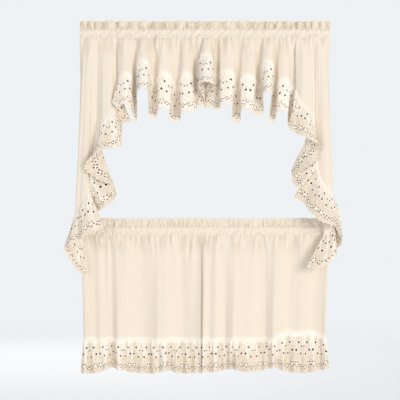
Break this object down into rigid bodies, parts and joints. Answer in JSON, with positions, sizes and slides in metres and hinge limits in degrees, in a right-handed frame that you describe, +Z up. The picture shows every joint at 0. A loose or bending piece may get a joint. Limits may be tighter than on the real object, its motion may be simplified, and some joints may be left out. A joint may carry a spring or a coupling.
{
  "type": "eyelet curtain set",
  "caption": "Eyelet-ruffle curtain set: tailed swags with a fluted valance between them, hung over short tiers, all on gathered rod-pocket headings.",
  "frame": {"origin": "middle of the upper rod pocket, halfway across the set", "axes": "+Z up; the front faces the room on the -Y side; +X to the right as seen from the room"},
  "size_m": [1.077, 0.1548, 1.3771],
  "materials": {
    "swag_left_heading_cloth": "cream plain-weave cotton blend, two layers stitched into a rod pocket and a ruffled header, matt",
    "swag_left_panel_cloth": "cream plain-weave cotton blend, fine even weave, matt",
    "swag_left_ruffle_cloth": "cream eyelet-embroidered cotton blend with a stitched scalloped hem, matt",
    "valance_heading_cloth": "cream plain-weave cotton blend, two layers stitched into a rod pocket and a ruffled header, matt",
    "valance_panel_cloth": "cream plain-weave cotton blend, fine even weave, matt",
    "valance_ruffle_cloth": "cream eyelet-embroidered cotton blend with a stitched scalloped hem, matt",
    "swag_right_heading_cloth": "cream plain-weave cotton blend, two layers stitched into a rod pocket and a ruffled header, matt",
    "swag_right_panel_cloth": "cream plain-weave cotton blend, fine even weave, matt",
    "swag_right_ruffle_cloth": "cream eyelet-embroidered cotton blend with a stitched scalloped hem, matt",
    "tier_left_heading_cloth": "cream plain-weave cotton blend, two layers stitched into a rod pocket and a ruffled header, matt",
    "tier_left_panel_cloth": "cream plain-weave cotton blend, fine even weave, matt",
    "tier_left_ruffle_cloth": "cream eyelet-embroidered cotton blend with a stitched scalloped hem, matt",
    "tier_right_heading_cloth": "cream plain-weave cotton blend, two layers stitched into a rod pocket and a ruffled header, matt",
    "tier_right_panel_cloth": "cream plain-weave cotton blend, fine even weave, matt",
    "tier_right_ruffle_cloth": "cream eyelet-embroidered cotton blend with a stitched scalloped hem, matt"
  },
  "bodies": {
    "root": {"swag_left_heading": "swag_left_heading_cloth", "swag_left_panel": "swag_left_panel_cloth", "swag_left_ruffle": "swag_left_ruffle_cloth", "valance_heading": "valance_heading_cloth", "valance_panel": "valance_panel_cloth", "valance_ruffle": "valance_ruffle_cloth", "swag_right_heading": "swag_right_heading_cloth", "swag_right_panel": "swag_right_panel_cloth", "swag_right_ruffle": "swag_right_ruffle_cloth", "tier_left_heading": "tier_left_heading_cloth", "tier_left_panel": "tier_left_panel_cloth", "tier_left_ruffle": "tier_left_ruffle_cloth", "tier_right_heading": "tier_right_heading_cloth", "tier_right_panel": "tier_right_panel_cloth", "tier_right_ruffle": "tier_right_ruffle_cloth"}
  },
  "joints": []
}
